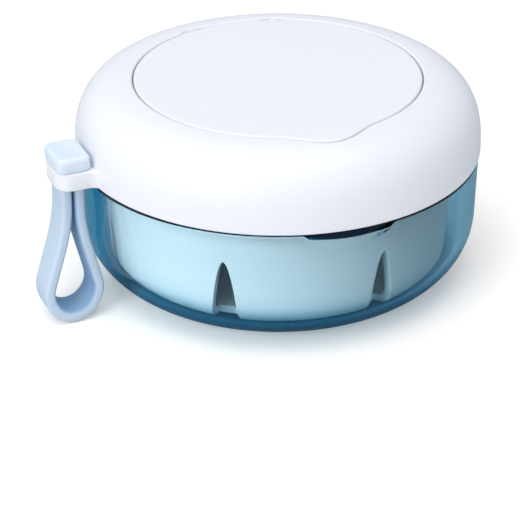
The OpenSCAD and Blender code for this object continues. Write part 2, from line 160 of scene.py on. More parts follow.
def moulded(name, colour, shade, roughness, grain=2200, bump=0.02, mottling=180, inner=None, **surface):
    """A moulded plastic or rubber: fine grain in the gloss, a faint unevenness in the colour.

    An inner colour, painted shade, shows where the piece's attribute "inside" is 1.
    """
    material, add = new_material(name)
    place = add("ShaderNodeTexCoord").outputs["Object"]
    cloud = add("ShaderNodeTexNoise", {"Vector": place, "Scale": mottling, "Detail": 3.0})
    tint = blended(add, cloud.outputs["Fac"], colour, shade)
    # painted shade: the inner colour darkens the faces that the attribute "inside" marks
    if inner:
        inside = add("ShaderNodeAttribute", attribute_name="inside").outputs["Fac"]
        tint = blended(add, inside, tint, inner)
    fine = add("ShaderNodeTexNoise", {"Vector": place, "Scale": grain, "Detail": 2.0})
    gloss = add("ShaderNodeMapRange", {"Value": fine.outputs["Fac"], "To Min": roughness - 0.05,
                                       "To Max": roughness + 0.05})
    rise = add("ShaderNodeBump", {"Height": fine.outputs["Fac"], "Strength": bump, "Distance": 0.00005})
    skin = add("ShaderNodeBsdfPrincipled", {"Base Color": tint, "Roughness": gloss.outputs["Result"],
                                            "Normal": rise.outputs["Normal"]})
    for key, value in surface.items():
        skin.inputs[key.replace("_", " ")].default_value = value
    add("ShaderNodeOutputMaterial", {"Surface": skin.outputs["BSDF"]})
    return material


def clear_tinted(name):
    """Thick polished clear plastic, deeper blue low in its foot, partly for the thick plastic and partly as painted
    shade; lamps shine through it.
    """
    material, add = new_material(name)
    place = add("ShaderNodeTexCoord").outputs["Object"]
    height = add("ShaderNodeSeparateXYZ", {"Vector": place}).outputs["Z"]
    above = add("ShaderNodeMapRange", {"Value": height, "From Min": 0.003, "From Max": 0.014},
                interpolation_type="SMOOTHSTEP").outputs["Result"]
    # deeper blue below 14 mm: partly the thick foot's own tint, partly painted shade of the dark floor under the case
    tone = blended(add, above, (0.42, 0.72, 0.84), (0.98, 0.995, 1.0))
    shine = blended(add, above, (0.25, 0.5, 0.6), (0.86, 0.96, 0.99))
    body = add("ShaderNodeBsdfPrincipled", {"Base Color": tone, "Roughness": uneven(add, place, 60, 0.0, 0.02),
                                            "IOR": 1.5, "Transmission Weight": 1.0})
    lamp = add("ShaderNodeBsdfTransparent", {"Color": shine})
    path = add("ShaderNodeLightPath")
    skin = add("ShaderNodeMixShader", {0: path.outputs["Is Shadow Ray"], 1: body.outputs["BSDF"],
                                       2: lamp.outputs["BSDF"]})
    tint = add("ShaderNodeVolumeAbsorption", {"Color": (0.26, 0.62, 0.73, 1), "Density": 60.0})
    add("ShaderNodeOutputMaterial", {"Surface": skin.outputs["Shader"], "Volume": tint.outputs["Volume"]})
    return material


def drawn_steel(name):
    """Bright wire, with fine lines along it."""
    material, add = new_material(name)
    place = add("ShaderNodeTexCoord").outputs["Object"]
    along = add("ShaderNodeMapping", {"Vector": place, "Scale": (20, 4000, 4000)}).outputs["Vector"]
    skin = add("ShaderNodeBsdfPrincipled", {"Base Color": (0.62, 0.62, 0.64, 1), "Metallic": 1.0,
                                            "Roughness": uneven(add, along, 1.0, 0.2, 0.4)})
    add("ShaderNodeOutputMaterial", {"Surface": skin.outputs["BSDF"]})
    return material


def silvered_glass(name):
    """A mirror, with a trace of haze."""
    material, add = new_material(name)
    place = add("ShaderNodeTexCoord").outputs["Object"]
    skin = add("ShaderNodeBsdfPrincipled", {"Base Color": (0.92, 0.94, 0.95, 1), "Metallic": 1.0,
                                            "Roughness": uneven(add, place, 90, 0.005, 0.02)})
    add("ShaderNodeOutputMaterial", {"Surface": skin.outputs["BSDF"]})
    return material


SATIN_WHITE = moulded("satin_white_plastic", (0.86, 0.88, 0.935), (0.88, 0.90, 0.95), 0.4)
BASKET_WHITE = moulded("basket_white_plastic", (0.88, 0.91, 0.93), (0.90, 0.93, 0.95), 0.45)
# the inner colour is painted shade on the inner faces of the strap's loop
PALE_BLUE = moulded("pale_blue_silicone", (0.54, 0.66, 0.80), (0.57, 0.69, 0.83), 0.45, grain=3000, bump=0.05,
                    inner=(0.27, 0.45, 0.66))
HEAD_BLUE = moulded("pale_blue_silicone_head", (0.72, 0.82, 0.93), (0.74, 0.84, 0.94), 0.42, grain=3000, bump=0.04)
# near-black: it darkens the gap under the lid, and in the thumb notch it is painted shade
DARK_SEAL_AND_NOTCH_SHADE = moulded("dark_seal_silicone", (0.002, 0.012, 0.03), (0.003, 0.015, 0.035), 0.7, Specular_IOR_Level=0.15)
FOAM = moulded("adhesive_foam", (0.09, 0.09, 0.1), (0.13, 0.13, 0.14), 0.85, grain=5000, bump=0.3)
CLEAR_BLUE = clear_tinted("clear_blue_plastic")
STEEL = drawn_steel("drawn_steel")
MIRROR = silvered_glass("silvered_glass")


# ---- making pieces ----

def new_piece(name, vertices, faces):
    """An object at the origin, with its mesh from millimetre vertices."""
    mesh = bpy.data.meshes.new(name)
    mesh.from_pydata([[c * MM for c in v] for v in vertices], [], faces)
    mesh.validate()
    piece = bpy.data.objects.new(name, mesh)
    bpy.context.scene.collection.objects.link(piece)
    return piece


def finish_piece(name, vertices, faces, material, body, nodes=(), sharp=35):
    """A piece from millimetre vertices, dressed."""
    return dress(new_piece(name, vertices, faces), material, body, nodes, sharp)


def dress(piece, material, body, nodes=(), sharp=35):
    """Gives a piece its finish, hides the model's parts that it stands for, and puts it on the body it rides on."""
    mesh = piece.data
    mesh.materials.clear()
    mesh.materials.append(material)
    mesh.shade_smooth()
    mesh.set_sharp_from_angle(angle=radians(sharp))
    if nodes:
        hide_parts(*nodes)
    if body:
        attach(piece, body)
    return piece


def turned(profiles, angles, closed=False):
    """Vertices and faces of a piece turned round Z from one profile of (r, z) for each angle.

    Angles in degrees from the front (-Y) towards +X. A profile starts and ends on the axis, or closes on itself.
    A profile that runs up on its outer side gives faces that point outwards.
    """
    count, steps = len(angles), len(profiles[0])
    vertices, index = [], {}
    for j in range(steps):
        if not closed and profiles[0][j][0] == 0:
            vertices.append((0, 0, profiles[0][j][1]))
            for i in range(count):
                index[i, j] = len(vertices) - 1
            continue
        for i, a in enumerate(angles):
            r, z = profiles[i][j]
            vertices.append((r * sin(radians(a)), -r * cos(radians(a)), z))
            index[i, j] = len(vertices) - 1
    faces = []
    for i in range(count):
        n = (i + 1) % count
        for j in range(steps if closed else steps - 1):
            m = (j + 1) % steps
            corners = [index[i, j], index[n, j], index[n, m], index[i, m]]
            face = [c for k, c in enumerate(corners) if c not in corners[:k]]
            if len(face) > 2:
                faces.append(face)
    return vertices, faces


def turned_piece(name, profile, angles, material, body, nodes, sharp=35, closed=False):
    """A finished piece turned round Z; the profile is one list of (r, z), or a function that gives one by angle."""
    profiles = [profile(a) if callable(profile) else profile for a in angles]
    vertices, faces = turned(profiles, angles, closed)
    return finish_piece(name, vertices, faces, material, body, nodes, sharp)


def even(count):
    """Angles at equal turns, in degrees."""
    return [360 * i / count for i in range(count)]


def arc(x, z, r, start, end, steps):
    """Points along an arc about (x, z), from one angle in degrees to another."""
    return [(x + r * cos(radians(start + (end - start) * i / steps)),
             z + r * sin(radians(start + (end - start) * i / steps))) for i in range(steps + 1)]


def between(a, b, steps):
    """Points from a to b, without either end."""
    return [(a[0] + (b[0] - a[0]) * i / steps, a[1] + (b[1] - a[1]) * i / steps) for i in range(1, steps)]


def shoulder(r0, r1, z0, z1, steps):
    """From the flat top (r0, z1) out and down to the side (r1, z0)."""
    return [(r0 + (r1 - r0) * sin(pi / 2 * i / steps) ** (2 / SHOULDER_SQUARE),
             z0 + (z1 - z0) * cos(pi / 2 * i / steps) ** (2 / SHOULDER_SQUARE)) for i in range(steps + 1)]


def dome_z(r):
    """Height of the lid's outside at a radius."""
    share = max(0.0, min(1.0, (r - SHOULDER_R) / (LID_R - SHOULDER_R))) ** (SHOULDER_SQUARE / 2)
    base = LID_EDGE + LID_BAND
    return base + (CASE_H - base) * sqrt(max(0.0, 1 - share * share)) ** (2 / SHOULDER_SQUARE)


def smooth(x):
    """From 0 at 0 to 1 at 1, level at both ends."""
    x = max(0.0, min(1.0, x))
    return x * x * (3 - 2 * x)


def from_front(a):
    """An angle as its distance from the front, with its sign, from -180 to 180."""
    return (a + 180) % 360 - 180


# ---- cup ----

def round_angles():
    """Steps of a degree, and of a quarter of a degree over the thumb notch."""
    return sorted(set(even(360)) | {a / 4 % 360 for a in range(-80, 81)})


def notch_share(a):
    """1 in the middle of the thumb notch, 0 outside it."""
    x = CUP_RIM_R * sin(radians(a)) if abs(a) < 60 else NOTCH_HALF
    return max(0.0, 1 - (x / NOTCH_HALF) ** 2) if abs(x) < NOTCH_HALF else 0.0


def ledge_dip(a):
    """How far the ledge goes down in the thumb notch."""
    return NOTCH_DIP * notch_share(a) ** 0.5 * smooth(notch_share(a) / 0.3)


def cup_profile(a):
    """The cup's section: foot, corner, side, the notch's facet, ledge, neck and the inside down to the floor."""
    a = from_front(a)
    share = notch_share(a)
    facet = smooth(share / 0.9)
    rim_z = LEDGE_Z - ledge_dip(a)
    whole_z = LEDGE_Z - FACET_START
    low_z = whole_z + (NOTCH_FACET_Z + FACET_RISE * (1 - share) - whole_z) * facet
    low = (CUP_SIDE_R + (CUP_RIM_R - CUP_SIDE_R) * (low_z - CUP_CORNER) / (LEDGE_Z - CUP_CORNER), low_z)
    rim = (CUP_RIM_R - FACET_CUT * facet, rim_z - RIM_ROUND)
    points = [(0, 0)] + between((0, 0), (CUP_FOOT_R, 0), 3)
    points += arc(CUP_FOOT_R, CUP_CORNER, CUP_CORNER, -90, 0, 28)
    points += between((CUP_SIDE_R, CUP_CORNER), low, 8) + [(low[0], low[1] - 0.08), low]
    points += between(low, rim, 4) + arc(rim[0] - RIM_ROUND, rim[1], RIM_ROUND, 0, 90, 6)
    points += [(NECK_R + 0.3, rim_z), (NECK_R + 0.08, rim_z + 0.08), (NECK_R, rim_z + 0.3)]
    points += between((NECK_R, rim_z + 0.3), (NECK_R, NECK_TOP - 0.4), 4)
    points += arc(NECK_R - 0.4, NECK_TOP - 0.4, 0.4, 0, 90, 4)
    points += arc(CUP_IN_R + 0.3, NECK_TOP - 0.3, 0.3, 90, 180, 4)
    corner = (CUP_CORE_R - CUP_INNER_CORNER, CUP_FLOOR + CUP_INNER_CORNER)
    points += between((CUP_IN_R, LEDGE_Z), (CUP_CORE_R, corner[1]), 6)
    points += arc(*corner, CUP_INNER_CORNER, 0, -90, 24)
    return points + between((corner[0], CUP_FLOOR), (0, CUP_FLOOR), 3) + [(0, CUP_FLOOR)]


def make_cup():
    turned_piece("cup_shell", cup_profile, round_angles(), CLEAR_BLUE, "base", ["base_cup"],
                 sharp=50)


def seal_section(a):
    """The near-black ring on its ledge, which darkens the gap under the lid; it goes down with the ledge in the thumb
    notch, where it fills the notch's gap as painted shade.
    """
    top, low = LEDGE_Z + SEAL_H, LEDGE_Z - ledge_dip(from_front(a)) + 0.02
    ring = arc(SEAL_OUT_R - SEAL_ROUND, low + SEAL_ROUND, SEAL_ROUND, -90, 0, 6)
    ring += arc(SEAL_OUT_R - SEAL_ROUND, top - SEAL_ROUND, SEAL_ROUND, 0, 90, 6)
    ring += arc(SEAL_IN_R + 0.2, top - 0.2, 0.2, 90, 180, 4)
    return ring + arc(SEAL_IN_R + 0.2, low + 0.2, 0.2, 180, 270, 4)


def make_seal():
    turned_piece("neck_seal", seal_section, round_angles(), DARK_SEAL_AND_NOTCH_SHADE, "base", ["seal_ring"],
                 closed=True)


# ---- strainer basket ----

def basket_profile():
    """The basket's section: floor, corner, wall, the flange that hangs in the neck, and the inside back down."""
    inner = BASKET_CORNER - BASKET_FLOOR
    inner_low = BASKET_LOW_R - BASKET_WALL
    corner_z = BASKET_Z + BASKET_CORNER
    floor_z = BASKET_Z + BASKET_FLOOR
    points = [(0, BASKET_Z)] + between((0, BASKET_Z), (BASKET_LOW_R - BASKET_CORNER, BASKET_Z), 4)
    points += arc(BASKET_LOW_R - BASKET_CORNER, corner_z, BASKET_CORNER, -90, 0, 16)
    points += between((BASKET_LOW_R, corner_z), (BASKET_R, NECK_TOP), 10) + [(BASKET_R, NECK_TOP)]
    points += arc(FLANGE_R - 0.3, NECK_TOP + 0.3, 0.3, -90, 0, 4)
    points += arc(FLANGE_R - 0.5, FLANGE_TOP - 0.5, 0.5, 0, 90, 5)
    points += arc(BASKET_R - BASKET_WALL + 0.6, FLANGE_TOP - 0.6, 0.6, 90, 180, 6)
    points += between((BASKET_R - BASKET_WALL, NECK_TOP), (inner_low, corner_z), 10)
    points += arc(inner_low - inner, corner_z, inner, 0, -90, 12)
    return points + between((inner_low - inner, floor_z), (0, floor_z), 4) + [(0, floor_z)]


def slot_tree():
    """Cuts drain slots, each a pointed arch, at equal turns round a basket."""
    tree = bpy.data.node_groups.new("drain_slots", "GeometryNodeTree")
    face = tree.interface
    face.new_socket("Basket", in_out="INPUT", socket_type="NodeSocketGeometry")
    for name, kind, value in (("Count", "NodeSocketInt", SLOTS),
                              ("Slot height", "NodeSocketFloat", SLOT_H * MM),
                              ("Slot width", "NodeSocketFloat", SLOT_W * MM),
                              ("Start radius", "NodeSocketFloat", (BASKET_LOW_R - SLOT_REACH) * MM),
                              ("Underside", "NodeSocketFloat", BASKET_Z * MM),
                              ("Turn", "NodeSocketFloat", radians(SLOT_TURN)),
                              ("Material", "NodeSocketMaterial", None)):
        socket = face.new_socket(name, in_out="INPUT", socket_type=kind)
        if value is not None:
            socket.default_value = value
    face.new_socket("Basket", in_out="OUTPUT", socket_type="NodeSocketGeometry")
    add = node_maker(tree)
    size = add("NodeGroupInput").outputs

    def maths(operation, a, b=0.0):
        return add("ShaderNodeMath", {0: a, 1: b}, operation=operation).outputs[0]

    def point(**place):
        return add("ShaderNodeCombineXYZ", place).outputs[0]

    def line(start, end):
        return add("GeometryNodeCurvePrimitiveLine", {"Start": start, "End": end}).outputs[0]

    def joined(parts):
        """The parts as one, with the points where they meet merged."""
        join = add("GeometryNodeJoinGeometry")
        for part in parts:
            tree.links.new(part, join.inputs[0])
        return add("GeometryNodeMergeByDistance", {"Geometry": join.outputs[0], "Distance": 1e-6}).outputs[0]

    # a parabola through the underside's corners; the arch goes on a little below the underside
    half = maths("MULTIPLY", size["Slot width"], 0.5)
    minus_half = maths("MULTIPLY", half, -1.0)
    below = maths("ADD", size["Underside"], -0.001)
    middle_z = maths("ADD", size["Underside"], maths("MULTIPLY", size["Slot height"], 2.0))
    left, right = point(X=minus_half, Z=size["Underside"]), point(X=half, Z=size["Underside"])
    foot_left, foot_right = point(X=minus_half, Z=below), point(X=half, Z=below)
    arch = add("GeometryNodeCurveQuadraticBezier", {"Resolution": 40, "Start": left, "Middle": point(Z=middle_z),
                                                   "End": right}).outputs[0]
    sides = (arch, line(foot_right, foot_left), line(right, foot_right), line(foot_left, left))
    outline = joined([add("GeometryNodeCurveToMesh", {"Curve": side}).outputs[0] for side in sides])
    as_curve = add("GeometryNodeMeshToCurve", {"Mesh": outline})
    flat = add("GeometryNodeTransform", {"Geometry": as_curve.outputs[0], "Rotation": (-pi / 2, 0, 0)})
    filled = add("GeometryNodeFillCurve", {"Curve": flat.outputs[0]}, mode="NGONS")
    stood = add("GeometryNodeTransform", {"Geometry": filled.outputs[0], "Rotation": (pi / 2, 0, 0)})
    start = point(Y=maths("MULTIPLY", size["Start radius"], -1.0))
    placed = add("GeometryNodeTransform", {"Geometry": stood.outputs[0], "Translation": start}).outputs[0]
    reach = add("GeometryNodeExtrudeMesh", {"Mesh": placed, "Offset": (0, -1, 0), "Offset Scale": 0.02,
                                            "Individual": False})
    # the first face stays behind as the cutter's inner end
    back = add("GeometryNodeFlipFaces", {"Mesh": placed})
    cutter = joined([reach.outputs[0], back.outputs[0]])

    row = add("GeometryNodeMeshLine", {"Count": size["Count"], "Offset": (0, 0, 0)})
    step = maths("DIVIDE", 2 * pi, size["Count"])
    number = add("GeometryNodeInputIndex").outputs[0]
    turn = point(Z=maths("ADD", size["Turn"], maths("MULTIPLY", number, step)))
    copies = add("GeometryNodeInstanceOnPoints", {"Points": row.outputs[0], "Instance": cutter, "Rotation": turn})
    real = add("GeometryNodeRealizeInstances", {"Geometry": copies.outputs[0]})
    cut = add("GeometryNodeMeshBoolean", {"Mesh 1": size["Basket"], "Mesh 2": real.outputs[0]},
              operation="DIFFERENCE", solver="EXACT")
    whole = add("GeometryNodeRealizeInstances", {"Geometry": cut.outputs[0]})
    painted = add("GeometryNodeSetMaterial", {"Geometry": whole.outputs[0], "Material": size["Material"]})
    add("NodeGroupOutput", {0: painted.outputs[0]})
    return tree


def grown_by_tree(piece, tree, **inputs):
    """Runs a node tree on a piece and keeps the result as its plain mesh."""
    modifier = piece.modifiers.new(tree.name, "NODES")
    modifier.node_group = tree
    for socket in tree.interface.items_tree:
        key = socket.name.lower().replace(" ", "_")
        if socket.in_out == "INPUT" and key in inputs:
            modifier[socket.identifier] = inputs[key]
    graph = bpy.context.evaluated_depsgraph_get()
    mesh = bpy.data.meshes.new_from_object(piece.evaluated_get(graph), depsgraph=graph)
    piece.modifiers.clear()
    piece.data = mesh


def soften(piece, width, segments, angle):
    """Rounds the edges of a piece that are sharper than an angle."""
    mesh = bmesh.new()
    mesh.from_mesh(piece.data)
    bmesh.ops.remove_doubles(mesh, verts=mesh.verts, dist=2e-6)
    bmesh.ops.dissolve_degenerate(mesh, edges=mesh.edges, dist=2e-6)
    sharp = [e for e in mesh.edges if len(e.link_faces) == 2 and e.calc_face_angle(0) > radians(angle)]
    bmesh.ops.bevel(mesh, geom=sharp, offset=width * MM, offset_type="OFFSET", segments=segments, profile=0.5,
                    affect="EDGES", clamp_overlap=True)
    mesh.to_mesh(piece.data)
    mesh.free()


def make_basket():
    angles = even(252)
    basket = new_piece("basket_body", *turned([basket_profile()] * len(angles), angles))
    grown_by_tree(basket, slot_tree(), material=BASKET_WHITE)
    soften(basket, 0.5, 3, 40)
    dress(basket, BASKET_WHITE, "basket", ["strainer_basket"], sharp=30)


# ---- lid ----

def swell(a):
    """How far the thumb tab stands out of the flap's circle at an angle from the front."""
    return TAB_REACH * cos(radians(90 * a / TAB_ANGLE)) ** 2 if abs(a) < TAB_ANGLE else 0.0


def hinge_relief(a):
    """(radius, depth under the top) of the room that the opening flap needs in the recess's rear edge."""
    back = abs(from_front(a + 180))
    if back > RELIEF_END:
        return RECESS_R, 0.0
    x = (PIN_Y + 0.9) * tan(radians(back))
    edge = sqrt(FLAP_R ** 2 - x ** 2) - PIN_Y              # the flap's edge behind the pin's axis
    over = FLAP_ROUND - edge                               # height of the edge's rounding once the flap stands
    top = CASE_H - PIN_Z
    rounding = FLAP_ROUND + TURN_ROOM
    if over - top >= rounding:                             # past the room, a soft run-out
        wide = (PIN_Y + top - FLAP_ROUND) / cos(radians(back)) - RECESS_R
        return RECESS_R + wide * (1 - smooth((back - RUN_OUT_START) / RUN_OUT)), 0.0
    behind = top - FLAP_ROUND + (rounding if over <= top else sqrt(max(0.0, rounding ** 2 - (over - top) ** 2)))
    radius = (PIN_Y + behind) / cos(radians(back))
    depth = top - (over - rounding)
    return (radius, min(max(depth, 0.0), RELIEF_DEEP)) if radius > RECESS_R else (RECESS_R, 0.0)


def lid_profile(a):
    """The lid's section: the well's underside, the cavity, the rebate over the seal, the dome, the recess."""
    a = from_front(a)
    seam_r = RECESS_R + swell(a)
    relief_r, depth = hinge_relief(a)
    edge_r = max(seam_r, relief_r)
    well_under = WELL_Z - WELL_FLOOR
    well_out = RECESS_R + WELL_WALL
    points = [(0, well_under)] + between((0, well_under), (well_out, well_under), 3)
    inner = shoulder(SHOULDER_R, CAVITY_R, LID_EDGE + LID_BAND, CASE_H - LID_WALL, 24)
    start = next(i for i, p in enumerate(inner) if p[0] > well_out)
    points += [(well_out, well_under), (well_out, inner[start][1])]
    points += [p for p in inner[start:] if p[1] > LINER_TOP + 0.2]
    points += [(CAVITY_LOW_R, LINER_TOP), (SKIRT_R, LINER_TOP)]
    rebate_z, rebate_r = LEDGE_Z + SEAL_H + SEAL_ROOM, SEAL_OUT_R + SEAL_ROOM
    points += [(SKIRT_R, rebate_z + 2), (SKIRT_R, rebate_z), (rebate_r, rebate_z), (rebate_r, LID_EDGE + 0.15)]
    points += arc(rebate_r + 0.15, LID_EDGE + 0.15, 0.15, 180, 270, 3)
    points += arc(LID_R - EDGE_ROUND, LID_EDGE + EDGE_ROUND, EDGE_ROUND, -90, 0, 6)
    outer = shoulder(SHOULDER_R, LID_R, LID_EDGE + LID_BAND, CASE_H, 72)[::-1]
    outer = [p for p in outer if p[0] > CROWN_R]
    points += outer
    start_r, last = edge_r + SEAM_ROUND, outer[-1][0]
    for i in range(1, 13):
        r = last + (start_r - last) * i / 12
        points.append((r, dome_z(r)))
    top = dome_z(start_r)
    points += [(start_r - SEAM_ROUND * sin(radians(t)), top - SEAM_ROUND + SEAM_ROUND * cos(radians(t)))
               for t in (15, 30, 45, 60, 75, 90)]
    step_z, round_z = TAB_Z - FLAP_REST, top - SEAM_ROUND - 0.05
    floor_z = min(max(CASE_H - depth, step_z), round_z) if depth > 0.5 else round_z
    points += [(edge_r, floor_z), (seam_r, floor_z - 0.01)]
    points += [(seam_r, max(step_z, REST_Z + 0.05)), (RECESS_R, step_z - 0.01), (RECESS_R, REST_Z)]
    points += [(WELL_R + 0.3, REST_Z), (WELL_R + 0.09, REST_Z - 0.09), (WELL_R, REST_Z - 0.3)]
    points += [(WELL_R, WELL_Z + 0.5), (WELL_R - 0.15, WELL_Z + 0.15), (WELL_R - 0.5, WELL_Z)]
    return points + between((WELL_R - 0.5, WELL_Z), (0, WELL_Z), 3) + [(0, WELL_Z)]


def round_and_tab():
    """Steps of a degree, and of half a degree over the thumb tab."""
    return set(even(360)) | {a / 2 % 360 for a in range(-46, 47)}


def make_lid():
    angles = sorted(round_and_tab() | {180 + a / 4 for a in range(-100, 101)})
    turned_piece("lid_dome", lid_profile, angles, SATIN_WHITE, "lid", ["lid_shell"], sharp=40)


def make_liner():
    """The plate inside the lid, with the low ring that finds its place in the basket."""
    edge = SKIRT_R - LINER_GAP
    low = FLANGE_TOP - LOCATOR_H
    inside = LOCATOR_R - LOCATOR_WALL
    points = [(0, FLANGE_TOP)] + between((0, FLANGE_TOP), (inside, FLANGE_TOP), 3)
    points += [(inside, FLANGE_TOP), (inside, low + 0.3)]
    points += arc(inside + 0.3, low + 0.3, 0.3, 180, 270, 4)
    points += arc(LOCATOR_R - 0.3, low + 0.3, 0.3, -90, 0, 4)
    points += [(LOCATOR_R, FLANGE_TOP), (edge - 0.2, FLANGE_TOP), (edge, FLANGE_TOP + 0.2)]
    points += [(edge, LINER_TOP - 0.2), (edge - 0.2, LINER_TOP)]
    points += between((edge - 0.2, LINER_TOP), (0, LINER_TOP), 4) + [(0, LINER_TOP)]
    turned_piece("lid_inner_plate", points, even(240), BASKET_WHITE, "lid", ["lid_liner"], sharp=40)


def flap_profile(a):
    """The flap's section: the underside, the frame round the mirror, the edge with the tab, and the top."""
    a = from_front(a)
    out = swell(a)
    edge = FLAP_R + out
    points = [(0, FLAP_Z)] + between((0, FLAP_Z), (FRAME_IN_R, FLAP_Z), 3)
    points += [(FRAME_IN_R, FLAP_Z), (FRAME_IN_R, FRAME_Z + 0.3)]
    points += arc(FRAME_IN_R + 0.3, FRAME_Z + 0.3, 0.3, 180, 270, 4)
    points += arc(FRAME_OUT_R - 0.5, FRAME_Z + 0.5, 0.5, -90, 0, 5)
    points += [(FRAME_OUT_R, FLAP_Z), (FLAP_R - 0.15, FLAP_Z), (FLAP_R, FLAP_Z + 0.15), (FLAP_R, TAB_Z)]
    points += [(edge - 0.12 * smooth(out), TAB_Z), (edge, TAB_Z + 0.12)]
    round_r = FLAP_ROUND - 0.1 * smooth(out / TAB_REACH)
    top = dome_z(edge - round_r)
    points += [(edge - round_r + round_r * cos(radians(t)), top - round_r + round_r * sin(radians(t)))
               for t in (0, 15, 30, 45, 60, 75, 90)]
    for i in range(1, 9):
        r = (edge - round_r) + (FLAT_R - (edge - round_r)) * i / 8
        points.append((r, dome_z(r)))
    return points + between((FLAT_R, CASE_H), (0, CASE_H), 4) + [(0, CASE_H)]


def make_flap():
    turned_piece("flap_disc", flap_profile, sorted(round_and_tab()), SATIN_WHITE, "flap",
                 ["mirror_flap"], sharp=40)
    low, high = FLAP_Z - TAPE_T, FLAP_Z - 0.01
    turned_piece("mirror_tape_disc", [(0, low), (TAPE_R, low), (TAPE_R, high), (0, high)], even(180), FOAM, "flap",
                 ["mirror_tape"])
    top = FLAP_Z - TAPE_T - 0.01
    glass = [(0, MIRROR_Z), (MIRROR_R - 1.2, MIRROR_Z), (MIRROR_R - 0.2, MIRROR_Z + 0.12), (MIRROR_R, MIRROR_Z + 0.3),
             (MIRROR_R, top - 0.15), (MIRROR_R - 0.15, top), (0, top)]
    turned_piece("mirror_disc", glass, even(180), MIRROR, "flap", ["mirror_glass"], sharp=5)


def make_pin():
    profile = [(0, -PIN_HALF), (PIN_R - 0.1, -PIN_HALF), (PIN_R, 0.1 - PIN_HALF), (PIN_R, PIN_HALF - 0.1),
               (PIN_R - 0.1, PIN_HALF), (0, PIN_HALF)]
    vertices, faces = turned([profile] * 32, even(32))
    vertices = [(z, PIN_Y + x, PIN_Z + y) for x, y, z in vertices]
    finish_piece("flap_pin", vertices, faces, STEEL, "lid", ["hinge_pin"])


# ---- strap ----

def from_lug(x, y, z):
    """A point of the lug's own frame (x out of the lid, y towards the front) in the case's frame."""
    c, s = cos(radians(LUG_ANGLE)), sin(radians(LUG_ANGLE))
    return (x * c - y * s, x * s + y * c, z)


def round_rectangle(x0, x1, half, r, steps=8):
    corners = ((x1 - r, half - r, 0), (x0 + r, half - r, 90), (x0 + r, r - half, 180), (x1 - r, r - half, 270))
    return [p for x, y, start in corners for p in arc(x, y, r, start, start + 90, steps)]


def drawn_in(outline, inset):
    """A counter-clockwise outline moved inwards by an inset."""
    count = len(outline)
    result = []
    for i, (x, y) in enumerate(outline):
        ax, ay = outline[i - 1]
        bx, by = outline[(i + 1) % count]
        dx, dy = bx - ax, by - ay
        step = inset / (sqrt(dx * dx + dy * dy) or 1)
        result.append((x - dy * step, y + dx * step))
    return result


def ringed(rings, closed=False):
    """Vertices and faces of a piece from rings of points (x, y, z), the lowest first.

    The end rings are filled, or closed joins the last ring to the first.
    """
    count = len(rings[0])
    vertices = [p for ring in rings for p in ring]
    faces = []
    for k in range(len(rings) if closed else len(rings) - 1):
        m = (k + 1) % len(rings)
        for i in range(count):
            n = (i + 1) % count
            faces.append([k * count + i, k * count + n, m * count + n, m * count + i])
    if not closed:
        faces += [list(range(count))[::-1], [len(vertices) - count + i for i in range(count)]]
    return vertices, faces


def ring_at(outline, z):
    """An outline in the lug's frame as a ring of points at one height."""
    return [from_lug(x, y, z) for x, y in outline]


def lug_outline():
    """Counter-clockwise outline of the lug with its fillets, from inside the lid's wall."""
    fy = LUG_HALF + LUG_FILLET
    fx = sqrt((LID_R - 0.35 + LUG_FILLET) ** 2 - fy ** 2)
    end = degrees(atan2(-fy, -fx))                          # towards the lid's axis
    upper = arc(fx, fy, LUG_FILLET, -90, end, 8)            # from the lug's side to the lid
    corner = arc(LUG_END - LUG_CORNER, LUG_HALF - LUG_CORNER, LUG_CORNER, 0, 90, 10)
    half = [(LUG_END, y) for y in (0.8, 1.6)] + corner
    half += between((LUG_END - LUG_CORNER, LUG_HALF), (fx, LUG_HALF), 4) + upper
    half += [(upper[-1][0] - 0.9, upper[-1][1] - 0.2)]
    return [(x, -y) for x, y in half[::-1]] + [(LUG_END, 0.0)] + half


def make_lug():
    outline = lug_outline()
    low, high = LUG_UNDER + LUG_ROUND, LUG_TOP - LUG_ROUND
    quarter = [(sin(radians(t)), cos(radians(t))) for t in (0, 30, 60, 90)]
    levels = [(LUG_ROUND * (1 - s), low - LUG_ROUND * c) for s, c in quarter]
    levels += [(LUG_ROUND * (1 - c), high + LUG_ROUND * s) for s, c in quarter]
    # a band inside the outline, without the fillets; the slot's edge has a point on the ray from its middle to each
    # point of the band
    hole_x, hole_y = NECK_T / 2 + SLOT_CLEAR, STRAP_W / 2 + SLOT_CLEAR
    widest = LUG_HALF - 0.9
    band = [(x, max(-widest, min(widest, y))) for x, y in drawn_in(outline, 0.8)]
    hole = []
    for x, y in band:
        dx, dy = x - STRAP_X, y
        k = min(hole_x / abs(dx) if dx else 1e9, hole_y / abs(dy) if dy else 1e9)
        hole.append((STRAP_X + dx * k, dy * k))
    rings = [ring_at(drawn_in(outline, inset), z) for inset, z in levels]
    rings += [ring_at(band, LUG_TOP), ring_at(hole, LUG_TOP), ring_at(hole, LUG_UNDER), ring_at(band, LUG_UNDER)]
    vertices, faces = ringed(rings, closed=True)
    finish_piece("strap_lug", vertices, faces, SATIN_WHITE, "lid", ["lid_shell"], sharp=40)


def make_head():
    outline = round_rectangle(HEAD_IN, HEAD_IN + HEAD_L, HEAD_W / 2, HEAD_CORNER)
    top = LUG_TOP + HEAD_H
    # (inset, height) up the side: a groove at the foot, the bevel, and a top that is a little dished inside it
    levels = [(0.45, LUG_TOP + 0.02), (0.42, LUG_TOP + 0.16), (0.12, LUG_TOP + 0.24), (0.0, LUG_TOP + 0.45),
              (0.0, LUG_TOP + 1.2)]
    levels += [(HEAD_BEVEL * (1 - cos(radians(t))), top - HEAD_BEVEL * (1 - sin(radians(t))))
               for t in range(0, 91, 10)]
    levels += [(HEAD_BEVEL + 0.15, top - 0.01), (HEAD_BEVEL + 0.35, top - 0.05), (HEAD_BEVEL + 0.6, top - 0.08)]
    vertices, faces = ringed([ring_at(drawn_in(outline, inset), z) for inset, z in levels])
    finish_piece("strap_button", vertices, faces, HEAD_BLUE, "lid", ["strap_head"], sharp=60)


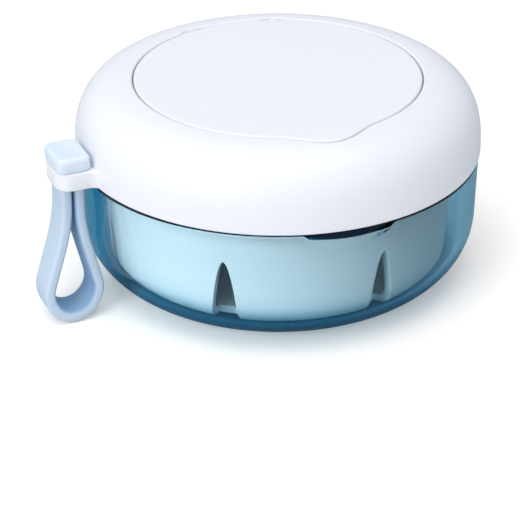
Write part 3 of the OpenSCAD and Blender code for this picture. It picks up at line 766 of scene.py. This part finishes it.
def loop_path():
    """Middle line of the band, down one side, round the end and up the other, and the way it faces.

    Each point is (x, z, nx, nz) from the flex point's axis, with the normal pointing out of the loop.
    """
    mid = LEGS_HALF - STRAP_T / 2
    lean, tilt, flare = radians(LOOP_LEAN), radians(LOOP_TILT), radians(LOOP_FLARE)
    drop = (FLEX_Z - LOOP_REST - STRAP_W / 2 * sin(lean)) / (cos(lean) * cos(tilt))
    centre = -(drop - LOOP_R)
    r = LOOP_R - STRAP_T / 2
    bend = LOOP_BLEND + STRAP_T / 2
    meet = (LOOP_R - LEGS_HALF * cos(flare)) / sin(flare)
    bend_z = centre + meet + LOOP_BLEND * tan(flare / 2)
    side = [(mid, z, 1, 0) for z in (LUG_UNDER + 1.6 - FLEX_Z, LUG_UNDER - FLEX_Z, 1.5, 0.5)]
    for i in range(13):
        t = flare * i / 12
        if bend_z - bend * sin(t) < 0:
            side.append((mid + bend * (1 - cos(t)), bend_z - bend * sin(t), cos(t), sin(t)))
    x0, z0 = side[-1][:2]
    x1, z1 = r * cos(flare), centre + r * sin(flare)
    side += [(x0 + (x1 - x0) * i / 6, z0 + (z1 - z0) * i / 6, cos(flare), sin(flare)) for i in range(1, 6)]
    side += [(r * cos(t), centre + r * sin(t), cos(t), sin(t))
             for t in [flare - (flare + pi / 2) * i / 16 for i in range(17)]]
    return side + [(-x, z, -nx, nz) for x, z, nx, nz in side[-2::-1]]


def fix_outward(piece):
    """Turns all faces of a closed piece outwards."""
    mesh = bmesh.new()
    mesh.from_mesh(piece.data)
    bmesh.ops.recalc_face_normals(mesh, faces=mesh.faces)
    mesh.to_mesh(piece.data)
    mesh.free()


def make_loop():
    """The band in its teardrop loop, leaning and tilting more the further it is below the flex point."""
    lean, tilt = tan(radians(LOOP_LEAN)), tan(radians(LOOP_TILT))
    section = round_rectangle(-STRAP_T / 2, STRAP_T / 2, STRAP_W / 2, LOOP_CORNER, steps=5)
    rings, inside = [], []
    for x, z, nx, nz in loop_path():
        ring = []
        for depth, across in section:
            px, pz = x + nx * depth, z + nz * depth
            fall = max(0.0, -pz)
            eased = fall * fall / (fall + 2.0)
            ring.append(from_lug(STRAP_X + px + tilt * eased, across + lean * eased, FLEX_Z + pz))
        rings.append(ring)
        # 1 on the loop's inner faces, where the painted shade goes
        inside += [smooth((-depth - 0.65) / 0.5) for depth, _ in section]
    vertices, faces = ringed(rings)
    loop = finish_piece("strap_band", vertices, faces, PALE_BLUE, None, ["strap_loop"], sharp=60)
    fix_outward(loop)
    loop.data.attributes.new("inside", "FLOAT", "POINT").data.foreach_set("value", inside)
    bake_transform(loop)


make_cup()
make_seal()
make_basket()
make_lid()
make_lug()
make_liner()
make_flap()
make_pin()
make_head()
make_loop()


# ---- studio ----

def area_lamp(name, place, aim, size, power, colour):
    data = bpy.data.lights.new(name, "AREA")
    data.shape, data.size, data.energy, data.color = "DISK", size, power, colour
    lamp = bpy.data.objects.new(name, data)
    bpy.context.scene.collection.objects.link(lamp)
    lamp.location = place
    lamp.rotation_euler = (Vector(aim) - Vector(place)).to_track_quat("-Z", "Y").to_euler()


def to_the_right(add, way, low, high):
    """A share from 0 on the photo's left to 1 on its right, and the bare measure, for a place or a direction."""
    side = add("ShaderNodeVectorMath", {0: way, 1: PHOTO_RIGHT}, operation="DOT_PRODUCT").outputs["Value"]
    share = add("ShaderNodeMapRange", {"Value": side, "From Min": low, "From Max": high}).outputs["Result"]
    return share, side


def not_yet_scattered(add, path):
    """1 for light that has met no matt surface yet, which is what the clear cup shows behind it."""
    return add("ShaderNodeMath", {0: path["Diffuse Depth"], 1: 0.5}, operation="LESS_THAN").outputs[0]


def make_world():
    """A pale room for the light, white for the picture, and behind the clear cup a painted shade of dark teal, darker
    on the photo's left.
    """
    world = bpy.data.worlds.new("pale_studio")
    bpy.context.scene.world = world
    world.use_nodes = True
    world.node_tree.nodes.clear()
    add = node_maker(world.node_tree)
    path = add("ShaderNodeLightPath").outputs
    way = add("ShaderNodeTexCoord").outputs["Generated"]
    right, side = to_the_right(add, way, -0.2, 0.35)
    # painted shade seen through the clear cup: dark teal, darker on the photo's left
    tone = blended(add, right, (0.0, 0.17, 0.30), (0.14, 0.32, 0.44))
    dusk = add("ShaderNodeMapRange", {"Value": side, "From Min": -0.4, "From Max": 0.4, "To Min": 2.9, "To Max": 0.3})
    room = add("ShaderNodeBackground", {"Color": (0.93, 0.96, 1.0, 1), "Strength": 0.46})
    inner = add("ShaderNodeBackground", {"Color": (0.93, 0.96, 1.0, 1), "Strength": dusk.outputs["Result"]})
    behind = add("ShaderNodeBackground", {"Color": tone, "Strength": 1.0})
    white = add("ShaderNodeBackground", {"Color": (1, 1, 1, 1), "Strength": 1.0})
    # through the clear cup: a painted shade of dark teal where it is seen behind it, or what lights the basket in it
    through = add("ShaderNodeMixShader", {0: not_yet_scattered(add, path), 1: inner.outputs[0], 2: behind.outputs[0]})
    unseen = add("ShaderNodeMixShader", {0: path["Is Transmission Ray"], 1: room.outputs[0], 2: through.outputs[0]})
    whole = add("ShaderNodeMixShader", {0: path["Is Camera Ray"], 1: unseen.outputs[0], 2: white.outputs[0]})
    add("ShaderNodeOutputWorld", {"Surface": whole.outputs[0]})


def make_floor():
    """White paper under the case. Seen in reflections it is a painted dark teal shade; in the light it sends through
    the clear cup it has a painted shadow on the photo's right; seen straight through the clear cup it is a painted
    dark teal shade.
    """
    mesh = bpy.data.meshes.new("floor")
    mesh.from_pydata([(-3, -3, 0), (3, -3, 0), (3, 3, 0), (-3, 3, 0)], [], [(0, 1, 2, 3)])
    floor = bpy.data.objects.new("floor", mesh)
    bpy.context.scene.collection.objects.link(floor)
    material, add = new_material("pale_floor")
    path = add("ShaderNodeLightPath").outputs
    place = add("ShaderNodeTexCoord").outputs["Object"]
    right, _ = to_the_right(add, place, -0.03, 0.04)
    away = add("ShaderNodeVectorMath", {0: place}, operation="LENGTH").outputs["Value"]
    outside = add("ShaderNodeMapRange", {"Value": away, "From Min": 0.040, "From Max": 0.055}).outputs["Result"]
    # painted shade seen straight through the clear cup: dark teal under the case, and beyond it darker on the photo's
    # left
    outer = blended(add, right, (0.0, 0.2, 0.35), (0.22, 0.42, 0.54))
    painted_through_shade = blended(add, outside, (0.02, 0.26, 0.42), outer)
    # painted shadow on the photo's right, in the light the floor sends through the clear cup
    shade = blended(add, right, (0.98, 0.98, 0.98), (0.45, 0.47, 0.5))
    plain = blended(add, path["Is Transmission Ray"], (0.96, 0.94, 0.92), shade)
    # painted shade in reflections: the floor is dark teal where it is seen in them
    painted_reflection_shade = blended(add, path["Is Glossy Ray"], plain, (0.24, 0.36, 0.43))
    through = add("ShaderNodeMath", {0: path["Is Transmission Ray"], 1: not_yet_scattered(add, path)},
                  operation="MULTIPLY")
    paper = add("ShaderNodeBsdfDiffuse", {"Color": blended(add, through.outputs[0], painted_reflection_shade, painted_through_shade)})
    lift = add("ShaderNodeEmission", {"Color": (1.0, 0.96, 0.94, 1), "Strength": 0.26})
    seen = add("ShaderNodeMixShader", {0: path["Is Camera Ray"], 2: lift.outputs[0]})
    both = add("ShaderNodeAddShader", {0: paper.outputs[0], 1: seen.outputs[0]})
    add("ShaderNodeOutputMaterial", {"Surface": both.outputs[0]})
    mesh.materials.append(material)


bpy.context.scene.view_settings.view_transform = "Standard"
make_world()
make_floor()
area_lamp("top_softbox", (-0.1, -0.1, 1.2), (0, 0, 0.03), 1.2, 8.5, (0.97, 0.98, 1.0))
area_lamp("key_softbox", (-0.95, -0.6, 0.55), (0, 0, 0.03), 0.7, 5.0, (1.0, 0.99, 0.98))
